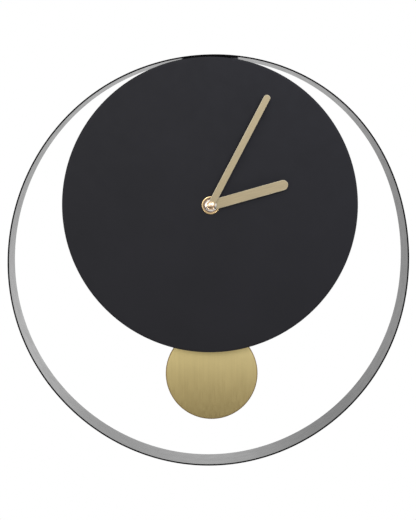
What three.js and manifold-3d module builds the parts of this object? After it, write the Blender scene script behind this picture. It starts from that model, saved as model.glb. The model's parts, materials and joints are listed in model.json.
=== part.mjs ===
// Pendulum wall clock: a deep steel hoop, a black disc dial set in its top, gold baton hands,
// and a brass disc pendulum that swings behind the dial.
// A battery quartz movement behind the dial drives the hands and keeps the pendulum swinging.
//
// Millimetres. +X is right and +Z is up as the clock is read, +Y points into the wall.
// The origin is where the wall screw carries the clock, in the plane of the wall.

import * as THREE from 'three';
import { mergeVertices } from 'three/addons/utils/BufferGeometryUtils.js';
import Module from 'manifold-3d';

const wasm = await Module();
wasm.setup();

// ---------------------------------------------------------------- driving dimensions

const GAP = 0.3; // between pieces that touch

const RING = { radius: 204.4, depth: 47, strip: 1.5, leftOfHub: 1.1, belowHub: 55.55 };

// The hoop is bent by hand and a little out of round. Each entry adds a number of lobes, by so many
// millimetres, with one lobe in a direction in degrees.
const OUT_OF_ROUND = [
  { lobes: 2, by: 2.9, towards: 78 },
  { lobes: 3, by: 0.94, towards: 56 },
  { lobes: 4, by: 0.37, towards: 50 },
  { lobes: 5, by: 0.33, towards: 50 },
];

const DIAL = { diameter: 296.4, thickness: 1.2, hole: 4.4, leftOfHub: 0.6, aboveHub: 0.25 };
const HANG = { aboveHub: 128, plateWidth: 56, plateBelow: 17, plate: 1.5 };
const HANDS = {
  thickness: 0.6,
  hour: { length: 80, width: 10.2, eye: 5.5, bore: 3.5, clock: 74.3 },
  minute: { length: 123.6, width: 6.8, eye: 4.2, bore: 2.7, clock: 27.6 },
};
const PENDULUM = {
  bob: 94, bobDome: 2, bobSheet: 0.9, bobBelowHub: 173.1, pivotAboveHub: 28, rightOfHub: 1.4,
};
const CASE = { left: -28.5, right: 28.5, bottom: -40, top: 38, depth: 16, wall: 1.2, corner: 3 };

// Places that follow from them.
const HUB_Z = -HANG.aboveHub;
const RING_CENTRE = [-RING.leftOfHub, HUB_Z - RING.belowHub];
const DIAL_CENTRE = [-DIAL.leftOfHub, HUB_Z + DIAL.aboveHub];
const DIAL_FRONT = -RING.depth + GAP;
const DIAL_BACK = DIAL_FRONT + DIAL.thickness;
const RUBBER = 0.8;
const CASE_FRONT = DIAL_BACK + GAP + RUBBER + 0.1;
const CASE_BACK = CASE_FRONT + CASE.depth;

// The train's layers, as distances behind the front of the movement's case.
const LAYER = {
  hour: [1.7, 2.7],
  motion: [3.3, 4.3],
  middlePlate: [4.9, 5.7],
  centre: [6.1, 6.9],
  third: [7.6, 8.4],
  seconds: [9.1, 9.9],
  intermediate: [10.6, 11.4],
  rearPlate: [12.1, 12.9],
  cover: [14.8, 16],
};

// Teeth and modules of the four meshes of the going train and the two of the motion work.
const MESH = {
  centreThird: { wheel: 48, pinion: 6, module: 0.35 },
  thirdSeconds: { wheel: 45, pinion: 6, module: 0.32 },
  secondsIntermediate: { wheel: 30, pinion: 6, module: 0.4 },
  intermediateRotor: { wheel: 36, pinion: 6, module: 0.3 },
  cannonMotion: { wheel: 24, pinion: 8, module: 0.7 },
  motionHour: { wheel: 24, pinion: 6, module: 0.7 * 32 / 30 },
};
const distance = (mesh) => mesh.module * (mesh.wheel + mesh.pinion) / 2;

// Directions from each arbor to the next, in degrees anticlockwise from +X.
const TURN = { third: 100, seconds: 30, intermediate: -20, rotor: 80, motion: 180 };

const radians = THREE.MathUtils.degToRad;
const step = (from, length, degrees) =>
  [from[0] + length * Math.cos(radians(degrees)), from[1] + length * Math.sin(radians(degrees))];

// Arbor places as [x, z] from the hub.
const C = [0, 0];
const T = step(C, distance(MESH.centreThird), TURN.third);
const S = step(T, distance(MESH.thirdSeconds), TURN.seconds);
const I = step(S, distance(MESH.secondsIntermediate), TURN.intermediate);
const R = step(I, distance(MESH.intermediateRotor), TURN.rotor);
const M = step(C, distance(MESH.cannonMotion), TURN.motion);

// ---------------------------------------------------------------- materials

const finish = (color, roughness, metalness) =>
  new THREE.MeshStandardMaterial({ color, roughness, metalness });

const black = finish(0x2c2c2e, 0.55, 0.2);
const gold = finish(0xb9a46e, 0.35, 0.9);
const brass = finish(0xc9a25a, 0.25, 1);
const steel = finish(0xa9abad, 0.35, 0.9);
const casePlastic = finish(0x1b1b1d, 0.5, 0);
const wheelPlastic = finish(0xe9e6dc, 0.45, 0);
const knobPlastic = finish(0x8f8f90, 0.5, 0);
const rubber = finish(0x161616, 0.9, 0);
const copper = finish(0xb4693c, 0.3, 0.8);
const board = finish(0x2f5a3a, 0.6, 0);
const ferrite = finish(0x3a3a3c, 0.6, 0.2);
const cell = finish(0x5b6f86, 0.35, 0.3);

// ---------------------------------------------------------------- modelling helpers

const clock = new THREE.Group();

// A mesh named name. Its geometry is in the clock's frame unless a group places it.
function piece(name, geometry, material, parent = clock) {
  const mesh = new THREE.Mesh(geometry, material);
  mesh.name = name;
  parent.add(mesh);
  return mesh;
}

// A closed geometry as a solid that can be joined and cut.
function solid(geometry) {
  const bare = geometry.clone();
  bare.deleteAttribute('normal');
  bare.deleteAttribute('uv');
  const merged = mergeVertices(bare, 1e-4);
  return new wasm.Manifold(new wasm.Mesh({
    numProp: 3,
    vertProperties: merged.attributes.position.array,
    triVerts: new Uint32Array(merged.index.array),
  }));
}

// A solid back as a geometry.
function geometryOf(body) {
  const mesh = body.getMesh();
  const geometry = new THREE.BufferGeometry();
  geometry.setAttribute('position', new THREE.BufferAttribute(mesh.vertProperties, 3));
  geometry.setIndex(new THREE.BufferAttribute(mesh.triVerts, 1));
  geometry.computeVertexNormals();
  return geometry;
}

// Joins the first geometries and cuts the others from them.
function build(joined, cut = []) {
  const added = joined.map(solid).reduce((a, b) => a.add(b));
  return geometryOf(cut.map(solid).reduce((a, b) => a.subtract(b), added));
}

// A shape drawn in X and Z, filled from y0 back to y1.
function plate(shape, y0, y1, curveSegments = 12) {
  const geometry = new THREE.ExtrudeGeometry(shape, {
    depth: y1 - y0, bevelEnabled: false, curveSegments,
  });
  return geometry.rotateX(Math.PI / 2).translate(0, y1, 0);
}

// A block between two corners.
function block(x0, x1, y0, y1, z0, z1) {
  return new THREE.BoxGeometry(x1 - x0, y1 - y0, z1 - z0)
    .translate((x0 + x1) / 2, (y0 + y1) / 2, (z0 + z1) / 2);
}

// A solid of revolution about a line along Y through (x, z). Its profile is [radius, y] pairs,
// outside upwards, and either meets the axis at both ends or closes on itself.
function turned(profile, [x, z] = [0, 0], segments = 24) {
  const points = profile.map(([r, y]) => new THREE.Vector2(r, y));
  return new THREE.LatheGeometry(points, segments).translate(x, 0, z);
}

// A plain cylinder and a plain tube along Y.
function rod(radius, y0, y1, at = [0, 0], segments = 24) {
  return turned([[0, y0], [radius, y0], [radius, y1], [0, y1]], at, segments);
}

function tube(inner, outer, y0, y1, at = [0, 0], segments = 24) {
  return turned([[inner, y0], [outer, y0], [outer, y1], [inner, y1], [inner, y0]], at, segments);
}

// A cylinder along X.
function barrel(radius, x0, x1, y, z, segments = 24) {
  return new THREE.CylinderGeometry(radius, radius, x1 - x0, segments)
    .rotateZ(Math.PI / 2).translate((x0 + x1) / 2, y, z);
}

// A rectangle with rounded corners.
function roundedRectangle(x0, x1, z0, z1, r) {
  const shape = new THREE.Shape();
  shape.absarc(x1 - r, z1 - r, r, 0, Math.PI / 2);
  shape.absarc(x0 + r, z1 - r, r, Math.PI / 2, Math.PI);
  shape.absarc(x0 + r, z0 + r, r, Math.PI, 1.5 * Math.PI);
  shape.absarc(x1 - r, z0 + r, r, 1.5 * Math.PI, 2 * Math.PI);
  return shape;
}

const disc = (radius, x = 0, z = 0) => new THREE.Shape().absarc(x, z, radius, 0, 2 * Math.PI);
const hole = (radius, x = 0, z = 0) => new THREE.Path().absarc(x, z, radius, 0, 2 * Math.PI);

// The outline of a wheel or pinion, with one tooth pointing along pointing degrees.
// Wheel teeth taper in straight lines. Pinion leaves have radial flanks and a pointed tip.
function toothed(teeth, module, pointing, isPinion) {
  const pitch = teeth * module / 2;
  const tip = pitch + (isPinion ? 0.85 : 0.95) * module;
  const root = pitch - (isPinion ? 1.25 : 1.2) * module;
  const half = (isPinion ? 0.5 : 0.6) * module; // half a tooth's thickness on the pitch circle
  const flanks = isPinion
    ? [[root, half * root / pitch + 0.05 * module], [pitch, half], [tip, 0.16 * module]]
    : [[root, 0.95 * module], [tip, 0.26 * module]];
  const points = [];
  for (let k = 0; k < teeth; k++) {
    const middle = radians(pointing) + k * 2 * Math.PI / teeth;
    const rising = flanks.map(([r, h]) => [r, middle - h / r]);
    const falling = flanks.map(([r, h]) => [r, middle + h / r]).reverse();
    for (const [r, a] of [...rising, ...falling]) {
      points.push(new THREE.Vector2(r * Math.cos(a), r * Math.sin(a)));
    }
  }
  return new THREE.Shape(points);
}

// The toothed disc of a wheel or a pinion, between two depths behind the case's front.
function teethAt(at, outline, [u0, u1]) {
  return plate(outline, CASE_FRONT + u0, CASE_FRONT + u1).translate(at[0], 0, at[1]);
}

// A wheel's tooth points at its pinion. The pinion's gap there points back at the wheel.
const wheelOutline = (mesh, towards) => toothed(mesh.wheel, mesh.module, towards, false);
const pinionOutline = (mesh, towards) =>
  toothed(mesh.pinion, mesh.module, towards + 180 + 180 / mesh.pinion, true);

// ---------------------------------------------------------------- hoop and dial

// The hoop's radius in a direction, anticlockwise from +X in radians.
const ringRadius = (angle) => OUT_OF_ROUND.reduce(
  (r, { lobes, by, towards }) => r + by * Math.cos(lobes * (angle - radians(towards))), RING.radius);

// The hoop's outline, moved in by an inset.
function ringOutline(inset, Kind) {
  const steps = 120;
  const points = [];
  for (let k = 0; k < steps; k++) {
    const angle = k * 2 * Math.PI / steps;
    const r = ringRadius(angle) - inset;
    points.push(new THREE.Vector2(
      RING_CENTRE[0] + r * Math.cos(angle), RING_CENTRE[1] + r * Math.sin(angle)));
  }
  return new Kind(points);
}

// Height of the top of the hoop's inner face at x, less an inset.
function insideRing(x, inset = 0) {
  let angle = Math.PI / 2;
  let r = RING.radius;
  for (let k = 0; k < 8; k++) {
    r = ringRadius(angle) - RING.strip - inset;
    angle = Math.acos((x - RING_CENTRE[0]) / r);
  }
  return RING_CENTRE[1] + r * Math.sin(angle);
}

function hoop() {
  const outline = ringOutline(0, THREE.Shape);
  outline.holes.push(ringOutline(RING.strip, THREE.Path));
  return plate(outline, -RING.depth, 0);
}

function dial() {
  const blank = plate(disc(DIAL.diameter / 2, ...DIAL_CENTRE), DIAL_FRONT, DIAL_BACK, 48);
  return build([blank], [rod(DIAL.hole, DIAL_FRONT - 1, DIAL_BACK + 1, [0, HUB_Z])]);
}

// The steel plate at the wall, welded inside the top of the hoop. Its keyhole takes the screw.
function hangerPlate() {
  const half = HANG.plateWidth / 2;
  const head = { radius: 5, z: -9 };
  const slot = 2.3;
  const outline = new THREE.Shape();
  outline.moveTo(-half, -HANG.plateBelow);
  outline.lineTo(half, -HANG.plateBelow);
  const steps = 14;
  for (let k = 0; k <= steps; k++) {
    const x = half - k * 2 * half / steps;
    outline.lineTo(x, insideRing(x, GAP));
  }
  outline.closePath();
  const meet = Math.asin(slot / head.radius);
  const keyhole = new THREE.Path();
  keyhole.absarc(0, 0, slot, 0, Math.PI);
  keyhole.absarc(0, head.z, head.radius, Math.PI / 2 + meet, 2.5 * Math.PI - meet);
  outline.holes.push(keyhole);
  return plate(outline, -HANG.plate, 0, 16);
}

// An angle bracket that ties the dial to the hoop, on a stud at the back of the dial.
const BRACKET = { place: 23.5, width: 8, tall: 20, deep: 14, sheet: 1, studDrop: 13, stud: 1.5 };

function ringBracket(side) {
  const x = side * BRACKET.place;
  const top = insideRing(x + side * BRACKET.width / 2, 2 * GAP);
  const [left, right] = [x - BRACKET.width / 2, x + BRACKET.width / 2];
  const front = DIAL_BACK + GAP;
  const upright = block(left, right, front, front + BRACKET.sheet, top - BRACKET.tall, top);
  const shelf = block(left, right, front, front + BRACKET.deep, top - BRACKET.sheet, top);
  const stud = [x, top - BRACKET.studDrop];
  return {
    stud,
    geometry: build([upright, shelf], [rod(BRACKET.stud + 0.3, front - 1, front + 2, stud, 16)]),
  };
}

function hexagon(acrossFlats, x, z) {
  const corner = acrossFlats / Math.sqrt(3);
  const points = [0, 1, 2, 3, 4, 5].map((k) =>
    new THREE.Vector2(x + corner * Math.cos(k * Math.PI / 3), z + corner * Math.sin(k * Math.PI / 3)));
  return new THREE.Shape(points);
}

piece('ring_band', hoop(), black);
piece('dial_plate', dial(), black);
piece('hanger_plate', hangerPlate(), black);
for (const [name, side] of [['left', -1], ['right', 1]]) {
  const bracket = ringBracket(side);
  const seat = DIAL_BACK + GAP;
  const nut = hexagon(5.5, ...bracket.stud);
  nut.holes.push(hole(BRACKET.stud + 0.25, ...bracket.stud));
  const nutFront = seat + BRACKET.sheet + 0.2;
  piece(`ring_bracket_${name}`, bracket.geometry, black);
  piece(`dial_stud_${name}`, rod(BRACKET.stud, DIAL_BACK + 0.1, seat + 5, bracket.stud, 16), steel);
  piece(`stud_nut_${name}`, plate(nut, nutFront, nutFront + 2.4, 4), steel);
}

// ---------------------------------------------------------------- movement, in the hub's frame

const movement = new THREE.Group();
movement.position.z = HUB_Z;
clock.add(movement);

const part = (name, geometry, material) => piece(name, geometry, material, movement);
const at = (u) => CASE_FRONT + u;

// Posts that carry the two plates and take the cover's screws, as [x, z].
const PLATE_POSTS = [[-15, 10], [19.5, 4.5], [4, -12]];
const COVER_POSTS = [[-24.6, 34.1], [24.6, 34.1], [-24.6, -12.6], [24.6, -12.6]];
const DIVIDER_Z = -17.4;
const BATTERY = { radius: 7.25, z: -27.6, left: -24.3, right: 24.9, nub: 2.75, nubLength: 1.2 };
const BUSH = { radius: 4, bore: 2.9, front: DIAL_FRONT - 4.4 };

// A rib across the battery's bay, hollowed to the battery's curve.
function cradle(x) {
  const foot = CASE.bottom + CASE.wall - 0.2;
  const rib = block(x - 0.6, x + 0.6, at(CASE.wall - 0.2), at(8.6), foot, DIVIDER_Z + 0.2);
  return build([rib], [barrel(BATTERY.radius + 0.3, x - 1, x + 1, at(8.6), BATTERY.z, 32)]);
}

// The front shell: a tray for the train above and an open bay for the battery below.
function movementCase() {
  const { left, right, bottom, top, depth, wall, corner } = CASE;
  const outside = plate(roundedRectangle(left, right, bottom, top, corner), at(0), at(depth), 2);
  const inner = corner - wall;
  const upper = roundedRectangle(left + wall, right - wall, DIVIDER_Z + wall, top - wall, inner);
  const bay = roundedRectangle(left + wall, right - wall, bottom + wall, DIVIDER_Z, inner);
  const hollows = [upper, bay].map((shape) => plate(shape, at(wall), at(depth + 1), 2));
  const shell = hollows.map(solid).reduce((a, b) => a.subtract(b), solid(outside));
  const posts = [
    ...PLATE_POSTS.map((p) => rod(1.6, at(wall - 0.2), at(LAYER.middlePlate[0] - 0.1), p, 8)),
    ...COVER_POSTS.map((p) => rod(2.2, at(wall - 0.2), at(LAYER.cover[0] - 0.1), p, 8)),
    tube(0.7, 1.8, at(wall - 0.2), at(1.6), M, 16), // the motion arbor's front pivot
    ...[-15, 0, 15].map((x) => cradle(x)),
  ];
  const holes = [
    rod(BUSH.radius + 0.2, at(-1), at(wall + 1), C, 24),
    ...COVER_POSTS.map((p) => rod(0.9, at(6), at(depth), p, 8)),
    block(-8, 8, at(11), at(depth + 1), bottom - 1, bottom + wall + 0.5), // for a fingertip
  ];
  const whole = posts.map(solid).reduce((a, b) => a.add(b), shell);
  return geometryOf(holes.map(solid).reduce((a, b) => a.subtract(b), whole));
}

// The plates between which the train's arbors turn. The rear one stands on three pillars.
function trainPlate(layer, arbors, pillarsTo) {
  const [u0, u1] = LAYER[layer];
  const outline = new THREE.Shape(
    [[-18, -3], [-18, 13], [-4, 24], [9, 23], [9, 11.7], [23, 11.7], [23, 1], [8, -15], [0, -15], [-8, -8]]
      .map(([x, z]) => new THREE.Vector2(x, z)));
  const body = [plate(outline, at(u0), at(u1))];
  if (pillarsTo) {
    body.push(...PLATE_POSTS.map((p) => rod(1.6, at(pillarsTo), at(u0 + 0.1), p, 8)));
  }
  return build(body, arbors.map(([p, r]) => rod(r, at(u0 - 1), at(u1 + 1), p, 8)));
}

// The back cover, with a raised ring round the knob and shallow grooves above the battery.
function movementCover() {
  const { left, right, top, wall, corner } = CASE;
  const edge = wall + 0.25;
  const outline = roundedRectangle(left + edge, right - edge, DIVIDER_Z + edge, top - edge, corner - edge);
  const body = plate(outline, at(LAYER.cover[0]), at(LAYER.cover[1]), 2);
  const ring = tube(5, 6, at(LAYER.cover[1] - 0.1), at(LAYER.cover[1] + 0.8), M, 32);
  const holes = [
    ...[-5, -8, -11].map((z) => block(-4, 19, at(LAYER.cover[1] - 0.5), at(17), z - 0.6, z + 0.6)),
    rod(1.7, at(14), at(17), M, 16),
    ...COVER_POSTS.map((p) => rod(1.3, at(14), at(17), p, 8)),
    rod(1.2, at(14), at(17), [PENDULUM.rightOfHub, PENDULUM.pivotAboveHub], 12),
  ];
  return build([body, ring], holes);
}

// A pan-head screw with a cross recess, from the back of its head at y to its tip.
function screw(x, z, y, length, shank, head) {
  const body = turned([
    [0, y - length], [shank * 0.5, y - length], [shank, y - length + 1], [shank, y],
    [head, y], [head, y + 0.7], [head * 0.7, y + 1.2], [0, y + 1.2],
  ], [x, z], 8);
  const arm = head * 0.55;
  const cross = [
    block(x - arm, x + arm, y + 0.6, y + 2, z - 0.25, z + 0.25),
    block(x - 0.25, x + 0.25, y + 0.6, y + 2, z - arm, z + arm),
  ];
  return build([body], cross);
}

part('movement_case', movementCase(), casePlastic);
part('middle_plate', trainPlate('middlePlate',
  [[C, 2.2], [T, 0.65], [S, 0.65], [I, 0.65], [R, 0.65], [M, 1.4]]), wheelPlastic);
part('rear_plate', trainPlate('rearPlate',
  [[C, 0.9], [T, 0.65], [S, 0.65], [I, 0.65], [R, 0.65], [M, 1.4]],
  LAYER.middlePlate[1] + 0.2), wheelPlastic);
part('movement_cover', movementCover(), casePlastic);
COVER_POSTS.forEach(([x, z], k) => {
  part(`cover_screw_${k + 1}`, screw(x, z, CASE_BACK + 0.2, 6, 0.8, 1.9), steel);
});

// The brass bush that clamps the movement to the dial, with its washers and thin nut.
const NUT = { acrossFlats: 11, bore: 4.2, thickness: 2.2 };
const WASHER_FRONT = DIAL_FRONT - 0.9;
const nutShape = hexagon(NUT.acrossFlats, 0, 0);
nutShape.holes.push(hole(NUT.bore));
part('threaded_bush', tube(BUSH.bore, BUSH.radius, BUSH.front, at(CASE.wall)), brass);
part('rubber_washer', tube(4.5, 11, DIAL_BACK + GAP, DIAL_BACK + GAP + RUBBER), rubber);
part('brass_washer', tube(4.3, 9, WASHER_FRONT, DIAL_FRONT - 0.2, C, 36), brass);
part('hex_nut', plate(nutShape, WASHER_FRONT - 0.2 - NUT.thickness, WASHER_FRONT - 0.2, 6), brass);

// ---------------------------------------------------------------- battery and contacts

function battery() {
  const { radius, z, left, right, nub, nubLength } = BATTERY;
  const profile = [
    [0, left], [radius - 0.6, left], [radius, left + 0.6], [radius, right - 0.6],
    [radius - 0.6, right], [nub, right], [nub, right + nubLength], [0, right + nubLength],
  ].map(([r, x]) => new THREE.Vector2(r, x));
  return new THREE.LatheGeometry(profile, 24).rotateZ(-Math.PI / 2).translate(0, at(8.6), z);
}

// The leaf that meets the battery's nub, with a tail that turns along the end wall.
function positiveContact() {
  const x = CASE.right - CASE.wall - 0.2;
  const z = BATTERY.z;
  return build([
    block(x - 0.4, x, at(3), at(14), z - 6, z + 6),
    block(x - 1.6, x, at(13.6), at(14), z + 4, z + 6),
  ]);
}

// A conical coil spring that presses on the battery's flat end.
function negativeContact() {
  const start = CASE.left + CASE.wall + 0.6;
  const turns = 2.5;
  const length = BATTERY.left - GAP - 0.35 - start;
  const steps = 24;
  const points = [];
  for (let k = 0; k <= steps; k++) {
    const share = k / steps;
    const angle = share * turns * 2 * Math.PI;
    const r = 5.2 - 2.6 * share;
    points.push(new THREE.Vector3(
      start + length * share, at(8.6) + r * Math.cos(angle), BATTERY.z + r * Math.sin(angle)));
  }
  return new THREE.ExtrudeGeometry(disc(0.3), {
    steps, curveSegments: 3, bevelEnabled: false, extrudePath: new THREE.CatmullRomCurve3(points),
  });
}

part('battery_cell', battery(), cell);
part('battery_contact_positive', positiveContact(), steel);
part('battery_contact_negative', negativeContact(), steel);

// ---------------------------------------------------------------- circuit and stepping motor

const BOARD = { x0: -26, x1: -15, z0: 16, z1: 31, front: 8.2, thickness: 0.8 };
part('circuit_board',
  block(BOARD.x0, BOARD.x1, at(BOARD.front), at(BOARD.front + BOARD.thickness), BOARD.z0, BOARD.z1), board);
part('quartz_crystal', new THREE.CylinderGeometry(1, 1, 6, 16).rotateX(Math.PI / 2)
  .translate(-23.5, at(BOARD.front + BOARD.thickness + 1.2), 24), steel);
part('timing_chip', block(-20.5, -16.5, at(BOARD.front + BOARD.thickness + 0.2),
  at(BOARD.front + BOARD.thickness + 1.2), 21.5, 26.5), casePlastic);

const MOTOR = { left: -2.5, right: 22.8, coilZ: 31, layer: [5.95, 6.85], gapRadius: 3.2 };

// The stator: a soft iron loop from the rotor's hole up through the coil.
function stator() {
  const outline = new THREE.Shape([
    [MOTOR.left, 25], [9.6, 24.5], [9.6, 12.3], [MOTOR.right, 12.3], [MOTOR.right, 32.2],
    [MOTOR.left, 32.2],
  ].map(([x, z]) => new THREE.Vector2(x, z)));
  const window = new THREE.Path([[0.6, 26.4], [0.6, 29.8], [20.9, 29.8], [20.9, 22], [12, 22], [12, 26.4]]
    .map(([x, z]) => new THREE.Vector2(x, z)));
  outline.holes.push(window, hole(MOTOR.gapRadius, ...R));
  return plate(outline, at(MOTOR.layer[0]), at(MOTOR.layer[1]), 8);
}

// The winding, with the core's slot through it.
function motorCoil() {
  const y = at((MOTOR.layer[0] + MOTOR.layer[1]) / 2);
  const core = block(0, 21, at(MOTOR.layer[0]) - 0.3, at(MOTOR.layer[1]) + 0.3, 29.5, 32.5);
  const flange = [1, 19.7].map((x) => barrel(3.9, x, x + 0.8, y, MOTOR.coilZ, 16));
  return build([barrel(3.2, 1, 20.5, y, MOTOR.coilZ, 16), ...flange], [core]);
}

part('motor_stator', stator(), steel);
part('motor_coil', motorCoil(), copper);

// ---------------------------------------------------------------- going train and motion work

// An arbor with its wheel and pinion, all on one axis. Pivots are thinner than the arbor.
function arbor(place, body, pivots, toothedDiscs) {
  const [[r, u0, u1], [p, v0, v1]] = [body, pivots];
  const shaft = turned([
    [0, at(v0)], [p, at(v0)], [p, at(u0)], [r, at(u0)], [r, at(u1)], [p, at(u1)], [p, at(v1)], [0, at(v1)],
  ], place, 8);
  return build([shaft, ...toothedDiscs]);
}

const plateFront = LAYER.middlePlate[0] + 0.1;
const plateRear = LAYER.rearPlate[1];

part('third_wheel', arbor(T, [0.62, 5.9, 11.9], [0.45, plateFront, plateRear], [
  teethAt(T, wheelOutline(MESH.thirdSeconds, TURN.seconds), LAYER.third),
  teethAt(T, pinionOutline(MESH.centreThird, TURN.third), [5.95, 7.7]),
]), wheelPlastic);
part('seconds_wheel', arbor(S, [0.6, 5.9, 11.9], [0.45, plateFront, plateRear], [
  teethAt(S, wheelOutline(MESH.secondsIntermediate, TURN.intermediate), LAYER.seconds),
  teethAt(S, pinionOutline(MESH.thirdSeconds, TURN.seconds), [7.45, 9.2]),
]), wheelPlastic);
part('intermediate_wheel', arbor(I, [0.6, 5.9, 11.9], [0.45, plateFront, plateRear], [
  teethAt(I, wheelOutline(MESH.intermediateRotor, TURN.rotor), LAYER.intermediate),
  teethAt(I, pinionOutline(MESH.secondsIntermediate, TURN.intermediate), [8.95, 10.7]),
]), wheelPlastic);
part('rotor_pinion', arbor(R, [0.55, 5.9, 11.9], [0.4, plateFront, plateRear], [
  teethAt(R, pinionOutline(MESH.intermediateRotor, TURN.rotor), [10.45, 11.55]),
]), wheelPlastic);
part('rotor_magnet', tube(0.75, 2.6, at(5.95), at(7.6), R, 24), ferrite);

// The setting arbor: driven by the cannon pinion, it drives the hour wheel and carries the knob.
part('motion_wheel', arbor(M, [1.1, 1.7, 17.4], [0.5, 1.35, 21], [
  teethAt(M, wheelOutline(MESH.cannonMotion, TURN.motion + 180), LAYER.motion),
  teethAt(M, pinionOutline(MESH.motionHour, TURN.motion), [1.75, 3.4]),
]), wheelPlastic);

// The knob behind the cover, knurled for the fingertips.
function settingKnob() {
  const knurl = 20;
  const points = [];
  for (let k = 0; k < 2 * knurl; k++) {
    const r = k % 2 ? 3.9 : 4.2;
    const a = k * Math.PI / knurl;
    points.push(new THREE.Vector2(r * Math.cos(a), r * Math.sin(a)));
  }
  const outline = new THREE.Shape(points);
  outline.holes.push(hole(0.8));
  return plate(outline, at(17.8), at(20.8), 3).translate(M[0], 0, M[1]);
}

part('setting_knob', settingKnob(), knobPlastic);

const HOUR_TUBE = { radius: 2.5, bore: 2, front: BUSH.front - 2.6 };
const MINUTE_ARBOR = { radius: 1.6, front: HOUR_TUBE.front - 3.2 };
const hourHandFront = BUSH.front - 1.6;
const minuteHandFront = HOUR_TUBE.front - 1.4;

function hourWheel() {
  const teeth = teethAt(C, wheelOutline(MESH.motionHour, TURN.motion), LAYER.hour);
  const bore = rod(HOUR_TUBE.bore, HOUR_TUBE.front - 1, at(5), C, 24);
  return build([teeth, rod(HOUR_TUBE.radius, HOUR_TUBE.front, at(LAYER.hour[1]), C, 24)], [bore]);
}

// The centre wheel, the cannon pinion and the arbor that carries the minute hand.
function centreWheel() {
  const shaft = turned([
    [0, MINUTE_ARBOR.front], [1.3, MINUTE_ARBOR.front], [MINUTE_ARBOR.radius, MINUTE_ARBOR.front + 0.3],
    [MINUTE_ARBOR.radius, at(11.9)], [0.7, at(11.9)], [0.7, at(plateRear)], [0, at(plateRear)],
  ], C, 24);
  return build([
    shaft,
    teethAt(C, pinionOutline(MESH.cannonMotion, TURN.motion + 180), [3.1, 4.5]),
    teethAt(C, wheelOutline(MESH.centreThird, TURN.third), LAYER.centre),
  ]);
}

part('hour_wheel', hourWheel(), wheelPlastic);
part('centre_wheel', centreWheel(), steel);

// ---------------------------------------------------------------- hands

// A baton hand that points up, with a round tip and a round eye on its collet.
function hand({ length, width, eye, bore }, front) {
  const half = width / 2;
  const outline = new THREE.Shape();
  outline.absarc(0, length - half, half, 0, Math.PI);
  const meet = Math.asin(half / eye);
  outline.absarc(0, 0, eye, Math.PI / 2 + meet, 2.5 * Math.PI - meet);
  outline.holes.push(hole(bore));
  return plate(outline, front, front + HANDS.thickness, 10);
}

// The hour hand's collet, a polished boss in front of the hand's eye with a neck through it.
function hourCollet() {
  const [bore, neck, flange] = [2.7, 3.3, 5.8];
  const seat = hourHandFront - 0.15;
  const front = seat - 0.7;
  const back = hourHandFront + HANDS.thickness + 0.3;
  return turned([
    [bore, front], [flange - 0.9, front], [flange, front + 0.5], [flange, seat], [neck, seat],
    [neck, back], [bore, back], [bore, front],
  ], C, 32);
}

// The minute hand's collet, a neck through the hand's eye with a shoulder behind the hand.
function minuteCollet() {
  const [bore, neck, shoulder] = [1.8, 2.5, 3.6];
  const front = minuteHandFront - 0.25;
  const seat = minuteHandFront + HANDS.thickness + 0.15;
  return turned([
    [bore, front], [neck, front], [neck, seat], [shoulder, seat],
    [shoulder, seat + 0.5], [bore, seat + 0.5], [bore, front],
  ], C, 24);
}

part('hour_hand', hand(HANDS.hour, hourHandFront), gold).rotation.y = radians(HANDS.hour.clock);
part('hour_collet', hourCollet(), brass);
part('minute_hand', hand(HANDS.minute, minuteHandFront), gold).rotation.y = radians(HANDS.minute.clock);
part('minute_collet', minuteCollet(), brass);

// The domed nut that covers the minute hand's eye and holds it on the arbor.
function capNut() {
  const radius = 4.4;
  const dome = 1.3;
  const back = minuteHandFront - 0.45;
  const front = MINUTE_ARBOR.front - 1.3;
  const profile = [[0, front]];
  for (let k = 1; k <= 6; k++) {
    const a = k * Math.PI / 12;
    profile.push([radius * Math.sin(a), front + dome * (1 - Math.cos(a))]);
  }
  profile.push([radius, back], [1.8, back]);
  profile.push([1.8, MINUTE_ARBOR.front - 0.3], [0, MINUTE_ARBOR.front - 0.3]);
  return turned(profile, C, 24);
}

part('hand_cap_nut', capNut(), brass);

// ---------------------------------------------------------------- pendulum drive

const POD = { half: 13, bottom: 7, top: 36, front: 16.3, back: 26.6, wall: 1.2 };
const ARM = { front: 21.1, back: 23.1, top: 32.5, bottom: -47 };
const PIVOT = [0, PENDULUM.pivotAboveHub];

// The drive and the pendulum share a middle line a little to the right of the hub.
const drive = new THREE.Group();
drive.position.x = PENDULUM.rightOfHub;
movement.add(drive);
const drivePart = (name, geometry, material) => piece(name, geometry, material, drive);

// The housing on the back of the movement. It is open below, where the arm swings.
function pendulumPod() {
  const { half, bottom, top, front, back, wall } = POD;
  const box = plate(roundedRectangle(-half, half, bottom, top, 2.5), at(front), at(back), 2);
  const inside = block(-half + wall, half - wall, at(front - 1), at(back - wall), bottom - 1, top - wall);
  const ears = [-1, 1].map((side) =>
    plate(roundedRectangle(side * 15 - 3, side * 15 + 3, 20, 26, 2.9), at(front), at(front + 1.6), 3));
  const screwHoles = [-1, 1].map((side) => rod(1.2, at(front - 1), at(front + 3), [side * 15.3, 23], 12));
  return build([box, ...ears], [inside, rod(1.2, at(back - 2), at(back + 1), PIVOT, 12), ...screwHoles]);
}

drivePart('pendulum_pod', pendulumPod(), casePlastic);
drivePart('pod_screw_left', screw(-15.3, 23, at(POD.front + 1.8), 1.7, 0.8, 1.9), steel);
drivePart('pod_screw_right', screw(15.3, 23, at(POD.front + 1.8), 1.7, 0.8, 1.9), steel);
drivePart('pivot_pin', rod(1, at(14.9), at(POD.back), PIVOT, 16), steel);
drivePart('drive_coil', tube(1.6, 6, at(16.5), at(18.6), [0, 14], 24), copper);

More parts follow.
